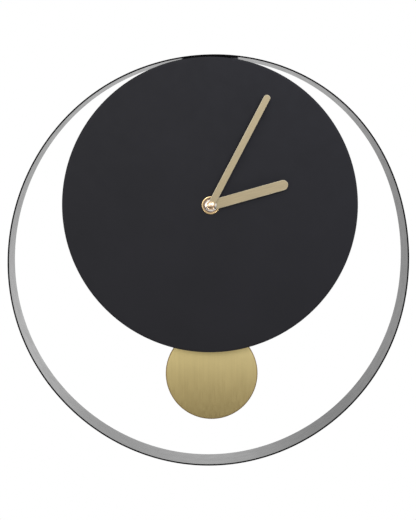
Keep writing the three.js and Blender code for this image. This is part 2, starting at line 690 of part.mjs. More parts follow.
// The arm hangs from the pin, carries the magnet past the coil, and ends in a hook.
function swingArm() {
  const outline = new THREE.Shape();
  outline.moveTo(-2, ARM.bottom + 8);
  outline.lineTo(-2, ARM.bottom);
  outline.lineTo(2, ARM.bottom);
  outline.lineTo(2, ARM.bottom + 8);
  outline.lineTo(3, 4);
  outline.absarc(0, 14, 4.6, -1.2, 1.2);
  outline.absarc(0, PENDULUM.pivotAboveHub, 4, -0.9, Math.PI + 0.9);
  outline.absarc(0, 14, 4.6, Math.PI - 1.2, Math.PI + 1.2);
  outline.lineTo(-3, 4);
  outline.closePath();
  outline.holes.push(hole(1.3, ...PIVOT));
  const blade = plate(outline, at(ARM.front), at(ARM.back), 6);
  // The hook: a peg behind the arm with a lip that keeps the rod's eye on it.
  const peg = block(-1.4, 1.4, at(ARM.back - 0.1), at(ARM.back + 3), ARM.bottom + 3, ARM.bottom + 5);
  const lip = block(-1.4, 1.4, at(ARM.back + 2.2), at(ARM.back + 3), ARM.bottom + 3, ARM.bottom + 7);
  return build([blade, peg, lip]);
}

drivePart('swing_arm', swingArm(), knobPlastic);
drivePart('arm_magnet', rod(3, at(19.4), at(ARM.front - 0.1), [0, 14], 24), ferrite);

// ---------------------------------------------------------------- pendulum

const ROD = { width: 4.6, front: ARM.back + 0.5, thickness: 0.9 };
const BOB_Z = -PENDULUM.bobBelowHub;

// A flat strip with a slotted eye over the hook. Its foot lies behind the bob.
function pendulumRod() {
  const top = ARM.bottom + 10;
  const outline = roundedRectangle(-ROD.width / 2 - 1, ROD.width / 2 + 1, ARM.bottom - 1, top, 2);
  const eye = block(-1.8, 1.8, at(ROD.front - 1), at(ROD.front + 2), ARM.bottom + 2.6, ARM.bottom + 7.6);
  const strip = block(-ROD.width / 2, ROD.width / 2, at(ROD.front), at(ROD.front + ROD.thickness),
    BOB_Z - 6, ARM.bottom);
  return build([plate(outline, at(ROD.front), at(ROD.front + ROD.thickness), 3), strip], [eye]);
}

const BOB_BACK = at(ROD.front) - 0.3;

// How far the bob's dome stands forward of its rim, at a radius.
const domeAt = (r) => PENDULUM.bobDome * (1 - (2 * r / PENDULUM.bob) ** 2);

// The bob is a pressed sheet disc, domed forward, with a small chamfer round its rim.
function pendulumBob() {
  const rim = PENDULUM.bob / 2;
  const steps = 5;
  const front = [];
  const back = [];
  for (let k = 0; k <= steps; k++) {
    const r = (rim - 0.3) * k / steps;
    front.push([r, BOB_BACK - PENDULUM.bobSheet - domeAt(r)]);
    back.unshift([r, BOB_BACK - domeAt(r)]);
  }
  const edge = [[rim, BOB_BACK - PENDULUM.bobSheet + 0.3], [rim, BOB_BACK]];
  return turned([...front, ...edge, ...back], [0, BOB_Z], 60);
}

// A bridge pressed over the rod, 6 high. Its two feet stand on the back of the dome.
function bobClip(z) {
  const [inner, outer, sheet] = [ROD.width / 2 + 0.3, ROD.width / 2 + 3.8, 0.6];
  const over = at(ROD.front + ROD.thickness) + 0.2;
  const foot = BOB_BACK - domeAt(Math.hypot(inner, Math.abs(z - BOB_Z) + 3)) + 0.3;
  const bar = (x0, x1, y0, y1) => block(x0, x1, y0, y1, z - 3, z + 3);
  return build([
    bar(-inner - sheet, inner + sheet, over, over + sheet),
    bar(-inner - sheet, -inner, foot, over + sheet),
    bar(inner, inner + sheet, foot, over + sheet),
    bar(-outer, -inner, foot, foot + sheet),
    bar(inner, outer, foot, foot + sheet),
  ]);
}

drivePart('pendulum_rod', pendulumRod(), brass);
drivePart('pendulum_bob', pendulumBob(), gold);
drivePart('bob_clip_upper', bobClip(BOB_Z + 26), steel);
drivePart('bob_clip_lower', bobClip(BOB_Z + 2), steel);

export default clock;
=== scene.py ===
# Pendulum wall clock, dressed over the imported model.
# Metres, +X right and +Z up as the clock is read, +Y into the wall.
import json
import math

import bmesh
import bpy
from mathutils import Matrix, Vector


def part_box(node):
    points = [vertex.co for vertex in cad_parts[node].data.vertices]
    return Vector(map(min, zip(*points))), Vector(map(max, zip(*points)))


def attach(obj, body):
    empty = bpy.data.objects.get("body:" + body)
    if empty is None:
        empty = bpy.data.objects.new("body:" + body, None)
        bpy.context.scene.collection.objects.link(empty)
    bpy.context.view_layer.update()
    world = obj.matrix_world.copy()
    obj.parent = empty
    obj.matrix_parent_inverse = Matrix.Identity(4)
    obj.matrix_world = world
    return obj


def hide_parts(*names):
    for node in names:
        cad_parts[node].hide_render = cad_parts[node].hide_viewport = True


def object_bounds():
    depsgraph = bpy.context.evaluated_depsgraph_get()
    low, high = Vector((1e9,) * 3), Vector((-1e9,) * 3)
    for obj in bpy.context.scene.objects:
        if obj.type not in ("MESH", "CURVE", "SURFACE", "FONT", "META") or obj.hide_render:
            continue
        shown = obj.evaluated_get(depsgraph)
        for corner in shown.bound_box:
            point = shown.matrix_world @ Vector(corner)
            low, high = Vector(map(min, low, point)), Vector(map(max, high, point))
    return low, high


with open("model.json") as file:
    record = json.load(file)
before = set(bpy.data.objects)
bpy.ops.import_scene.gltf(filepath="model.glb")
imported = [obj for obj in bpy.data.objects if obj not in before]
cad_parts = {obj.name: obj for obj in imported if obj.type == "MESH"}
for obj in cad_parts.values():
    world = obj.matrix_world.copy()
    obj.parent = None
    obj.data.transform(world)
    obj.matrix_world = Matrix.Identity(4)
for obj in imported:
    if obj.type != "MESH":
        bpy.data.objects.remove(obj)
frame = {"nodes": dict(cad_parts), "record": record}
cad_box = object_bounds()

MM = 0.001
SHARP = 30  # degrees between two faces, above which their shared edge is shaded sharp
WELD_REACH = 0.002 * MM
nodes = frame["nodes"]
scene = bpy.context.scene


def box_of(node):
    low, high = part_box(node)
    return Vector(low), Vector(high)


def centre_of(node):
    low, high = box_of(node)
    return (low + high) / 2


def depth_of(node):
    """The front and back of a node, as Y."""
    low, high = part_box(node)
    return low[1], high[1]


HUB = centre_of("hex_nut")
RING_LOW, RING_HIGH = box_of("ring_band")

# ---------------------------------------------------------------- camera

CAMERA_DISTANCE = 1389 * MM  # from the hoop's front plane
CAMERA_RIGHT_OF_HUB = -18.9 * MM
CAMERA_ABOVE_HUB = 51.15 * MM
AIM_RIGHT_OF_HUB = -10.9 * MM
AIM_ABOVE_HUB = -1.85 * MM


def make_camera():
    """A long lens in front of the clock, aimed at a place on the hoop's front plane."""
    data = bpy.data.cameras.new("camera")
    data.sensor_width = 36
    data.lens = 96.16
    data.shift_x = 0.0158
    data.shift_y = -0.1017
    camera = bpy.data.objects.new("camera", data)
    scene.collection.objects.link(camera)
    place = Vector((HUB.x + CAMERA_RIGHT_OF_HUB, RING_LOW.y - CAMERA_DISTANCE, HUB.z + CAMERA_ABOVE_HUB))
    aim = Vector((HUB.x + AIM_RIGHT_OF_HUB, RING_LOW.y, HUB.z + AIM_ABOVE_HUB))
    camera.location = place
    camera.rotation_euler = (aim - place).to_track_quat("-Z", "Y").to_euler()
    scene.camera = camera


make_camera()

# ---------------------------------------------------------------- materials


class NodeTree:
    """Short ways to build the node tree of a material or a world."""

    def __init__(self, tree):
        self.tree = tree

    def put(self, node, socket, value):
        """Joins another node's output to an input, or sets the input to a plain value."""
        target = node.inputs[socket]
        if isinstance(value, bpy.types.NodeSocket):
            self.tree.links.new(value, target)
        else:
            target.default_value = value

    def add(self, kind, inputs=None, **settings):
        """A new node with its settings, then its inputs."""
        node = self.tree.nodes.new(kind)
        for name, value in settings.items():
            setattr(node, name, value)
        for socket, value in (inputs or {}).items():
            self.put(node, socket, value)
        return node

    def calculate(self, operation, first, second):
        return self.add("ShaderNodeMath", {0: first, 1: second}, operation=operation).outputs[0]

    def ramp(self, value, low, high, start=0.3, end=0.7):
        """Runs from low to high while value runs from start to end, and is level beyond."""
        node = self.add("ShaderNodeMapRange", {"Value": value, "From Min": start, "From Max": end,
                                               "To Min": low, "To Max": high})
        return node.outputs["Result"]

    def blend(self, factor, first, second, kind="FLOAT"):
        """Mixes from first to second by factor: numbers, or colours where kind is RGBA."""
        node = self.add("ShaderNodeMix", {"Factor": factor, "A": first, "B": second}, data_type=kind)
        return node.outputs["Result"]


class Shader(NodeTree):
    """A node material with a Principled shader, and short ways to vary its look."""

    def __init__(self, name, color, roughness, metallic=0.0, **sockets):
        self.material = bpy.data.materials.new(name)
        self.material.use_nodes = True
        super().__init__(self.material.node_tree)
        self.principled = self.tree.nodes["Principled BSDF"]
        self.color = color
        self.put(self.principled, "Roughness", roughness)
        self.put(self.principled, "Metallic", metallic)
        self.put(self.principled, "Base Color", (*color, 1))
        for socket, value in sockets.items():
            self.put(self.principled, socket.replace("_", " "), value)
        self.place = self.add("ShaderNodeTexCoord").outputs["Object"]

    def noise(self, scale, detail=3.0, roughness=0.55, stretch=(1, 1, 1)):
        """A noise whose features are 1/scale metres across, divided by stretch along each axis."""
        mapping = self.add("ShaderNodeMapping", {"Vector": self.place, "Scale": stretch})
        texture = self.add("ShaderNodeTexNoise", {"Vector": mapping.outputs["Vector"], "Scale": scale,
                                                  "Detail": detail, "Roughness": roughness})
        return texture.outputs["Fac"]

    def vary_color(self, value, dark, light, start=0.3, end=0.7):
        """Mixes the colour between dark and light times itself by value."""
        shades = [(*[min(1, c * by) for c in self.color], 1) for by in (dark, light)]
        factor = self.ramp(value, 0, 1, start, end)
        self.put(self.principled, "Base Color", self.blend(factor, *shades, "RGBA"))

    def vary_roughness(self, value, low, high):
        self.put(self.principled, "Roughness", self.ramp(value, low, high))

    def bump(self, value, distance, strength):
        """Shades the surface as if value raised it by up to distance metres."""
        node = self.add("ShaderNodeBump", {"Height": value, "Distance": distance, "Strength": strength})
        self.put(self.principled, "Normal", node.outputs["Normal"])


def painted_steel(name, color, roughness, specular, grain=0.02 * MM, rolled=0):
    """Satin powder coat: a fine even grain over faint clouds of sheen.

    On a rolled hoop duller lines run along the strip, down to rolled below its full sheen."""
    s = Shader(name, color, roughness, Specular_IOR_Level=specular)
    s.vary_color(s.noise(18, 2), 0.9, 1.12)
    s.vary_roughness(s.noise(90, 2), roughness - 0.025, roughness + 0.03)
    s.bump(s.noise(700, 2), grain, 0.35)
    if rolled:
        lines = s.noise(1, 2, 0.6, (4, 170, 4))
        sheen = s.ramp(lines, specular - rolled, specular, 0.35, 0.6)
        s.put(s.principled, "Specular IOR Level", sheen)
    return s.material


def brushed(name, color, roughness, across, along):
    """Metal brushed along Z: fine streaks in colour, sheen and height, over faint clouds."""
    s = Shader(name, color, roughness, 1.0)
    fine = s.noise(1, 3, 0.65, (across, across, along))
    streaks = s.noise(1, 2, 0.5, (across / 4, across / 4, along / 2))
    clouds = s.noise(45, 3, 0.5)
    lines = s.calculate("ADD", s.ramp(fine, 0, 0.4, 0.25, 0.75), s.ramp(streaks, 0, 0.3))
    total = s.calculate("ADD", lines, s.ramp(clouds, 0, 0.3))
    s.vary_color(total, 0.95, 1.05, 0.1, 0.9)
    s.vary_roughness(fine, roughness - 0.05, roughness + 0.06)
    s.bump(fine, 0.006 * MM, 0.5)
    return s.material


def turned_metal(name, color, roughness):
    """Bright turned or plated metal with faint handling marks."""
    s = Shader(name, color, roughness, 1.0)
    s.vary_color(s.noise(160, 3), 0.9, 1.08)
    s.vary_roughness(s.noise(700, 3), roughness - 0.05, roughness + 0.08)
    s.bump(s.noise(2500, 2), 0.004 * MM, 0.3)
    return s.material


def moulded(name, color, roughness, fineness=1400):
    """Moulded plastic with an even spark-eroded grain, 1/fineness metres across."""
    s = Shader(name, color, roughness, Specular_IOR_Level=0.45)
    s.vary_color(s.noise(60, 2), 0.9, 1.1)
    s.vary_roughness(s.noise(300, 3), roughness - 0.06, roughness + 0.06)
    s.bump(s.noise(fineness, 2), 0.02 * MM, 0.4)
    return s.material


def wound(name, color):
    """Enamelled wire laid side by side along X."""
    s = Shader(name, color, 0.25, 0.9, Coat_Weight=0.6)
    wave = s.add("ShaderNodeTexWave", {"Vector": s.place, "Scale": 900.0, "Distortion": 0.4},
                 bands_direction="X")
    s.vary_color(wave.outputs["Fac"], 0.6, 1.15, 0.1, 0.9)
    s.bump(wave.outputs["Fac"], 0.08 * MM, 0.6)
    return s.material


black_steel = painted_steel("black_steel", (0.005, 0.005, 0.0055), 0.24, 0.5, grain=0.003 * MM)
hoop_black = painted_steel("hoop_black", (0.005, 0.005, 0.0055), 0.24, 0.43, grain=0.003 * MM, rolled=0.06)
edge_black = painted_steel("edge_black", (0.002, 0.002, 0.0022), 0.5, 0.04)
dial_black = painted_steel("dial_black", (0.0064, 0.006, 0.0078), 0.5, 0.25)
rod_brass = brushed("rod_brass", (0.6, 0.47, 0.24), 0.3, 2200, 25)
# Smoother gold for the hands' bevels, also paler than the hands' gold as a painted highlight along their
# edges.
polished_gold_painted_highlight = turned_metal("polished_gold_painted_highlight", (0.86, 0.78, 0.58), 0.2)
cap_gold = turned_metal("cap_gold", (0.93, 0.68, 0.45), 0.2)
pale_plate = turned_metal("pale_plate", (0.9, 0.86, 0.8), 0.16)
# Darker, rougher brass painted on the washer's floor as shade in the recess round the nut.
painted_shade_brass = turned_metal("painted_shade_brass", (0.36, 0.27, 0.22), 0.4)
# Dark brown painted on the bob's rim as shade, rougher than its face.
bob_rim_painted_shade = turned_metal("bob_rim_painted_shade", (0.3, 0.2, 0.08), 0.5)
cell_band = moulded("cell_band", (0.5, 0.5, 0.52), 0.3, 600)

# The material of each slot in the record.
finishes = {
    "black_steel": black_steel,
    "gold_hand": brushed("gold_hand", (0.53, 0.43, 0.25), 0.36, 2200, 60),
    "brass": turned_metal("brass", (0.93, 0.67, 0.34), 0.13),
    "bob_brass": brushed("bob_brass", (0.71, 0.575, 0.255), 0.36, 2000, 18),
    "steel": turned_metal("steel", (0.55, 0.55, 0.56), 0.3),
    "case_plastic": moulded("case_plastic", (0.014, 0.014, 0.015), 0.45),
    "wheel_plastic": moulded("wheel_plastic", (0.78, 0.75, 0.66), 0.4, 2500),
    "grey_plastic": moulded("grey_plastic", (0.2, 0.2, 0.21), 0.45),
    "rubber": moulded("rubber", (0.012, 0.012, 0.012), 0.8, 900),
    "copper": wound("copper", (0.55, 0.2, 0.09)),
    "circuit": moulded("circuit", (0.02, 0.11, 0.045), 0.35, 3000),
    "magnet": moulded("magnet", (0.04, 0.04, 0.043), 0.5, 3500),
    "cell_jacket": moulded("cell_jacket", (0.05, 0.09, 0.16), 0.3, 600),
}
slot_of = {entry["node"]: entry["material_slot"] for entry in frame["record"]["subparts"]}


def dress(obj, material):
    obj.data.materials.clear()
    obj.data.materials.append(material)


for name, obj in nodes.items():
    dress(obj, finishes[slot_of[name]])
dress(nodes["pendulum_rod"], rod_brass)

# ---------------------------------------------------------------- mesh helpers


def new_piece(name, body, material, node):
    """An empty mesh object that rides on body and stands for a CAD node."""
    obj = bpy.data.objects.new(name, bpy.data.meshes.new(name))
    scene.collection.objects.link(obj)
    dress(obj, material)
    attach(obj, body)
    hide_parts(node)
    return obj


def shade(obj, angle=SHARP):
    """Smooth shading that breaks at edges sharper than angle."""
    for polygon in obj.data.polygons:
        polygon.use_smooth = True
    mesh = bmesh.new()
    mesh.from_mesh(obj.data)
    for edge in mesh.edges:
        edge.smooth = len(edge.link_faces) == 2 and edge.calc_face_angle(0) < math.radians(angle)
    mesh.to_mesh(obj.data)
    mesh.free()


def fill(obj, vertices, faces, angle=SHARP):
    """Gives an empty object its mesh, with the faces turned outwards."""
    obj.data.from_pydata(vertices, [], faces)
    mesh = bmesh.new()
    mesh.from_mesh(obj.data)
    bmesh.ops.recalc_face_normals(mesh, faces=mesh.faces)
    mesh.to_mesh(obj.data)
    mesh.free()
    shade(obj, angle)


def paint(obj, material, chosen):
    """Gives a further material to the faces for which chosen holds."""
    obj.data.materials.append(material)
    for polygon in obj.data.polygons:
        if chosen(polygon):
            polygon.material_index = len(obj.data.materials) - 1


def reach(face, centre):
    """How far a face's middle is from a line along Y through centre."""
    return math.hypot(face.center.x - centre.x, face.center.z - centre.z)


def circle(around):
    """The cosines and sines of equal steps once around."""
    angles = [2 * math.pi * k / around for k in range(around)]
    return [(math.cos(a), math.sin(a)) for a in angles]


def arc(radius, start, end, steps, up=0.0):
    """Points (x, z) on an arc about the origin, raised by up."""
    angles = [start + (end - start) * k / steps for k in range(steps + 1)]
    return [(radius * math.cos(a), up + radius * math.sin(a)) for a in angles]


def ring_at(centre, radius, y, around):
    """A circle of points about a line along Y through centre."""
    return [(centre.x + radius * c, y, centre.z + radius * s) for c, s in circle(around)]


def loops(rings, closed):
    """Faces between rings of equal length. Closed also joins the last ring to the first."""
    count = len(rings[0])
    vertices = [v for ring in rings for v in ring]
    faces = []
    for i in range(len(rings) if closed else len(rings) - 1):
        a = i * count
        b = (i + 1) % len(rings) * count
        for k in range(count):
            n = (k + 1) % count
            faces.append((a + k, a + n, b + n, b + k))
    if not closed:
        faces.append(tuple(range(count)))
        faces.append(tuple(range((len(rings) - 1) * count, len(rings) * count)))
    return vertices, faces


def rounded(corners, radii, steps=3):
    """A polygon's corners rounded by arcs, as a list of 2-D points. A radius of 0 keeps a corner."""
    points = []
    for i, (corner, radius) in enumerate(zip(corners, radii)):
        here = Vector(corner)
        if not radius:
            points.append(here)
            continue
        back = (Vector(corners[i - 1]) - here).normalized()
        on = (Vector(corners[(i + 1) % len(corners)]) - here).normalized()
        half = back.angle(on) / 2
        cut = radius / math.tan(half)
        centre = here + (back + on).normalized() * (radius / math.sin(half))
        start = here + back * cut - centre
        end = here + on * cut - centre
        sweep = math.atan2(start.x * end.y - start.y * end.x, start.dot(end))
        for k in range(steps + 1):
            a = sweep * k / steps
            points.append(centre + Vector((start.x * math.cos(a) - start.y * math.sin(a),
                                           start.x * math.sin(a) + start.y * math.cos(a))))
    return points


def turn(obj, profile, centre, around=96, angle=SHARP):
    """Turns a profile of (radius, y) about a line along Y. A radius of 0 at both ends closes it."""
    solid = profile[0][0] == 0 and profile[-1][0] == 0
    rings = [ring_at(centre, r, y, around) for r, y in (profile[1:-1] if solid else profile)]
    fill(obj, *loops(rings, not solid), angle=angle)


def turn_along_x(obj, profile, centre, around=64):
    """Turns a profile of (radius, x) about a line along X. Both its ends are on the line."""
    rings = [[(x, centre.y + r * c, centre.z + r * s) for c, s in circle(around)]
             for r, x in profile[1:-1]]
    fill(obj, *loops(rings, False))


# ---------------------------------------------------------------- hoop and dial

STRIP = 1.5 * MM  # the hoop's sheet
STRIP_EDGE = 0.1 * MM  # radius of its edges
RING_CENTRE = HUB + Vector((-1.1, 0, -55.55)) * MM
RING_RADIUS = 204.33
# The hoop is a little out of round: numbers of lobes, their height, and a direction of one.
OUT_OF_ROUND = [(2, 2.9, 78), (3, 0.94, 56), (4, 0.37, 50), (5, 0.33, 50)]
DIAL_BORE = 4.4 * MM


def ring_radius(angle):
    return MM * (RING_RADIUS + sum(height * math.cos(lobes * (angle - math.radians(towards)))
                                   for lobes, height, towards in OUT_OF_ROUND))


def make_ring():
    """The hoop: a rolled strip with its edges rounded and blacker than its faces."""
    obj = new_piece("hoop", "frame", hoop_black, "ring_band")
    near, far = RING_LOW.y, RING_HIGH.y
    lip = 0.5 * MM
    # The corners a lip from each edge keep the faces' shading flat up to there.
    section = rounded(
        [(0, near), (0, near + lip), (0, far - lip), (0, far),
         (-STRIP, far), (-STRIP, far - lip), (-STRIP, near + lip), (-STRIP, near)],
        [STRIP_EDGE, 0, 0, STRIP_EDGE, STRIP_EDGE, 0, 0, STRIP_EDGE])
    around = 360
    rings = []
    for k in range(around):
        angle = 2 * math.pi * k / around
        radius = ring_radius(angle)
        rings.append([(RING_CENTRE.x + (radius + inset) * math.cos(angle), y,
                       RING_CENTRE.z + (radius + inset) * math.sin(angle)) for inset, y in section])
    fill(obj, *loops(rings, True), angle=50)
    paint(obj, edge_black, lambda face: abs(face.normal.y) > 0.3)


def make_dial():
    """The dial: a sheet disc with a rounded edge. Its hole for the bush is a little off centre."""
    obj = new_piece("dial_disc", "frame", dial_black, "dial_plate")
    low, high = box_of("dial_plate")
    radius = (high.x - low.x) / 2
    flat_from, flat_to = DIAL_BORE + 1.1 * MM, radius - 3 * MM
    edge = rounded([(flat_to, low.y), (radius, low.y), (radius, high.y), (flat_to, high.y)],
                   [0, 0.45 * MM, 0.3 * MM, 0], 4)
    bore = rounded([(flat_from, high.y), (DIAL_BORE, high.y), (DIAL_BORE, low.y), (flat_from, low.y)],
                   [0, 0.15 * MM, 0.15 * MM, 0], 2)
    rings = [ring_at(centre, r, y, 256)
             for profile, centre in ((edge, (low + high) / 2), (bore, HUB)) for r, y in profile]
    fill(obj, *loops(rings, True))


make_ring()
make_dial()

# ---------------------------------------------------------------- hands


def brushed_along(name, clock):
    """Gold brushed along a hand that points to clock degrees."""
    s = Shader(name, (0.42, 0.345, 0.205), 0.48, 1.0)
    turned = s.add("ShaderNodeMapping", {"Vector": s.place, "Rotation": (0, math.radians(-clock), 0)})
    stretched = s.add("ShaderNodeVectorMath", {0: turned.outputs["Vector"], 1: (2200, 2200, 60)},
                      operation="MULTIPLY")
    texture = s.add("ShaderNodeTexNoise", {"Vector": stretched.outputs[0], "Scale": 1.0, "Detail": 3.0})
    streaks = texture.outputs["Fac"]
    s.vary_color(streaks, 0.85, 1.12)
    s.vary_roughness(streaks, 0.42, 0.56)
    s.bump(streaks, 0.01 * MM, 0.5)
    return s.material


def make_hand(name, body, node, length, width, eye, bore, clock):
    """A baton hand with a round tip, a round eye and a bevelled edge, pointing to clock degrees."""
    obj = new_piece(name, body, brushed_along(name + "_gold", clock), node)
    front, back = depth_of(node)
    half = width / 2
    meet = math.asin(half / eye)
    outline = arc(half, 0, math.pi, 16, length - half)
    outline += arc(eye, math.pi / 2 + meet, 2.5 * math.pi - meet, 48)
    mesh = bmesh.new()
    outer = [mesh.verts.new((x, front, z)) for x, z in outline]
    inner = [mesh.verts.new(point) for point in ring_at(Vector((0, 0, 0)), bore, front, 48)]
    edges = [mesh.edges.new((ring[i - 1], ring[i])) for ring in (outer, inner)
             for i in range(len(ring))]
    bmesh.ops.triangle_fill(mesh, edges=edges, use_beauty=True, use_dissolve=True)
    bmesh.ops.recalc_face_normals(mesh, faces=mesh.faces)
    grown = bmesh.ops.extrude_face_region(mesh, geom=list(mesh.faces))
    moved = [v for v in grown["geom"] if isinstance(v, bmesh.types.BMVert)]
    bmesh.ops.translate(mesh, vec=(0, back - front, 0), verts=moved)
    bmesh.ops.recalc_face_normals(mesh, faces=mesh.faces)
    mesh.to_mesh(obj.data)
    mesh.free()
    pointing = Matrix.Rotation(math.radians(clock), 4, "Y")
    obj.data.transform(Matrix.Translation((HUB.x, 0, HUB.z)) @ pointing)
    shade(obj, 40)
    # The bevels get the smoother, paler gold: a painted highlight along the edges.
    obj.data.materials.append(polished_gold_painted_highlight)
    bevel = obj.modifiers.new("bevel", "BEVEL")
    bevel.width = 0.3 * MM
    bevel.segments = 1
    bevel.material = 1
    bevel.limit_method = "ANGLE"
    bevel.angle_limit = math.radians(50)


make_hand("hour_baton", "hour_hand_and_wheel", "hour_hand",
          length=80 * MM, width=10.2 * MM, eye=5.5 * MM, bore=3.5 * MM, clock=74.3)
make_hand("minute_baton", "minute_hand_and_centre_wheel", "minute_hand",
          length=123.6 * MM, width=6.8 * MM, eye=4.2 * MM, bore=2.7 * MM, clock=27.6)

# ---------------------------------------------------------------- bob


def make_bob():
    """The bob: a sheet disc domed to the front, with a rounded edge whose rim is painted darker as shade,
    and rougher.
    """
    obj = new_piece("bob_disc", "pendulum", finishes["bob_brass"], "pendulum_bob")
    low, high = box_of("pendulum_bob")
    centre = centre_of("pendulum_bob")
    radius = (high.z - low.z) / 2
    sheet, rim = 0.9 * MM, 0.8 * MM
    dome = high.y - low.y - sheet

    def rise(r):
        return dome * (1 - (r / radius) ** 2)

    radii = [(radius - 0.9 * MM) * k / 24 for k in range(25)]
    front = [(r, high.y - sheet - rise(r)) for r in radii]
    back = [(r, high.y - rise(r)) for r in reversed(radii)]
    edge = rounded([(radius - 0.5 * MM, high.y - sheet), (radius, high.y - sheet),
                    (radius, high.y), (radius - 0.5 * MM, high.y)], [0, 0.35 * MM, 0.2 * MM, 0], 4)
    turn(obj, front + edge[1:-1] + back, centre, 160, 40)
    # The outer rim gets painted shade: a darker, rougher brass.
    paint(obj, bob_rim_painted_shade, lambda face: reach(face, centre) > radius - rim)


make_bob()

# ---------------------------------------------------------------- hub


def make_washer():
    """The washer under the nut: a raised rim round a floor painted darker as shade."""
    front, back = depth_of("brass_washer")
    obj = new_piece("hub_washer", "frame", finishes["brass"], "brass_washer")
    bore, rim, outer = 4.3 * MM, 7.5 * MM, 9 * MM
    floor = front + 0.45 * MM
    corners = [(bore, floor), (rim - 0.4 * MM, floor), (rim, front), (outer, front), (outer, back),
               (bore, back)]
    radii = [r * MM for r in (0.05, 0.1, 0.2, 0.35, 0.05, 0.05)]
    turn(obj, rounded(corners, radii, 4), HUB)
    # The floor inside the rim is painted darker as shade under the nut and bosses.
    paint(obj, painted_shade_brass, lambda face: reach(face, HUB) < rim - 0.2 * MM)


def make_hour_boss():
    """The hour hand's collet: a polished boss with a sloping shoulder, on a narrower stem."""
    front, back = depth_of("hour_collet")
    obj = new_piece("hour_boss", "hour_hand_and_wheel", pale_plate, "hour_collet")
    bore, stem, face, shoulder = 2.7 * MM, 3.3 * MM, 4.7 * MM, 5.8 * MM
    seat = front + 0.7 * MM
    corners = [(bore, front), (face, front), (shoulder, front + 0.45 * MM), (shoulder, seat),
               (stem, seat), (stem, back), (bore, back)]
    radii = [r * MM for r in (0.08, 0.3, 0.2, 0.05, 0.05, 0.1, 0.05)]
    turn(obj, rounded(corners, radii, 4), HUB)


def make_minute_boss():
    """The minute hand's collet: a sleeve with a flange at its back."""
    front, back = depth_of("minute_collet")
    obj = new_piece("minute_boss", "minute_hand_and_centre_wheel", finishes["brass"],
                    "minute_collet")
    bore, sleeve, flange = 1.8 * MM, 2.5 * MM, 3.6 * MM
    seat = back - 0.5 * MM
    corners = [(bore, front), (sleeve, front), (sleeve, seat), (flange, seat), (flange, back),
               (bore, back)]
    radii = [r * MM for r in (0.05, 0.1, 0.05, 0.12, 0.12, 0.05)]
    turn(obj, rounded(corners, radii), HUB, 64)


def make_cap_nut():
    """The polished dome that holds the minute hand, over a slightly wider collar."""
    front, back = depth_of("hand_cap_nut")
    obj = new_piece("cap_nut", "minute_hand_and_centre_wheel", cap_gold, "hand_cap_nut")
    bore, radius, height = 1.8 * MM, 4.4 * MM, 1.3 * MM
    dome = radius - 0.25 * MM
    inside = depth_of("centre_wheel")[0] - 0.3 * MM
    quarter = [k * math.pi / 2 / 16 for k in range(1, 17)]
    profile = [(dome * math.sin(a), front + height * (1 - math.cos(a))) for a in quarter]
    collar = rounded([(dome, front + height), (radius, front + height + 0.1 * MM),
                      (radius, back), (bore, back)], [0, 0.08 * MM, 0.1 * MM, 0.05 * MM])
    turn(obj, [(0, front)] + profile + collar[1:] + [(bore, inside), (0, inside)], HUB)


def threaded(name, slot, node, centre, radius, bore, pitch, around):
    """A threaded barrel or stud along Y, its ends chamfered, with a bore where bore isn't 0."""
    front, back = depth_of(node)
    obj = new_piece(name, "frame", finishes[slot], node)
    steps = max(2, round((back - front) / pitch * 4))
    depth = 0.3 * pitch
    rings = []
    for i in range(steps + 1):
        y = front + (back - front) * i / steps
        end = min(y - front, back - y)
        ring = []
        for k, (c, s) in enumerate(circle(around)):
            turns = (y - front) / pitch - k / around
            wave = abs(2 * (turns - math.floor(turns)) - 1)
            r = min(radius - depth * wave, radius - depth + end)
            ring.append((centre.x + r * c, y, centre.z + r * s))
        rings.append(ring)
    if bore:
        rings += [ring_at(centre, bore, y, around) for y in (back, front)]
    fill(obj, *loops(rings, bool(bore)), angle=50)


make_washer()
make_hour_boss()
make_minute_boss()
make_cap_nut()
threaded("bush_thread", "brass", "threaded_bush", HUB,
         radius=4 * MM, bore=2.9 * MM, pitch=0.75 * MM, around=60)
for side in ("left", "right"):
    node = "dial_stud_" + side
    threaded("stud_thread_" + side, "steel", node, centre_of(node),
             radius=1.5 * MM, bore=0, pitch=0.5 * MM, around=32)

# ---------------------------------------------------------------- movement

SCREW_HEAD = 1.2 * MM  # height
SCREW_HEAD_RADIUS = 1.9 * MM
SCREW_SHANK_RADIUS = 0.8 * MM
SCREW_LENGTHS = {"cover_screw": 6 * MM, "pod_screw": 1.7 * MM}  # under the head
SCREWS = [f"cover_screw_{k}" for k in range(1, 5)] + ["pod_screw_left", "pod_screw_right"]


def make_cell():
    """The battery: a plain sleeve with a pale band, steel ends and a nub."""
    low, high = box_of("battery_cell")
    middle = (low + high) / 2
    radius = (high.z - low.z) / 2
    obj = new_piece("cell", "frame", finishes["cell_jacket"], "battery_cell")
    right = high.x - 1.2 * MM
    nub, groove, band = 2.75 * MM, radius - 0.12 * MM, right - 16 * MM
    ends = rounded([(0, low.x), (radius, low.x), (radius, right), (nub, right), (nub, high.x),
                    (0, high.x)], [0, 0.8 * MM, 0.9 * MM, 0.3 * MM, 0.3 * MM, 0], 5)
    split = next(k for k, point in enumerate(ends) if point.y > middle.x)
    sleeve = [(radius, low.x + 1.9 * MM), (groove, low.x + 2.2 * MM), (radius, low.x + 2.5 * MM),
              (radius, band), (radius, right - 1.6 * MM), (groove, right - 1.5 * MM)]
    turn_along_x(obj, ends[:split] + sleeve + ends[split:], middle)
    paint(obj, cell_band, lambda face: face.center.x > band)
    paint(obj, finishes["steel"],
          lambda face: not low.x + 2 * MM <= face.center.x <= right - 1.5 * MM)


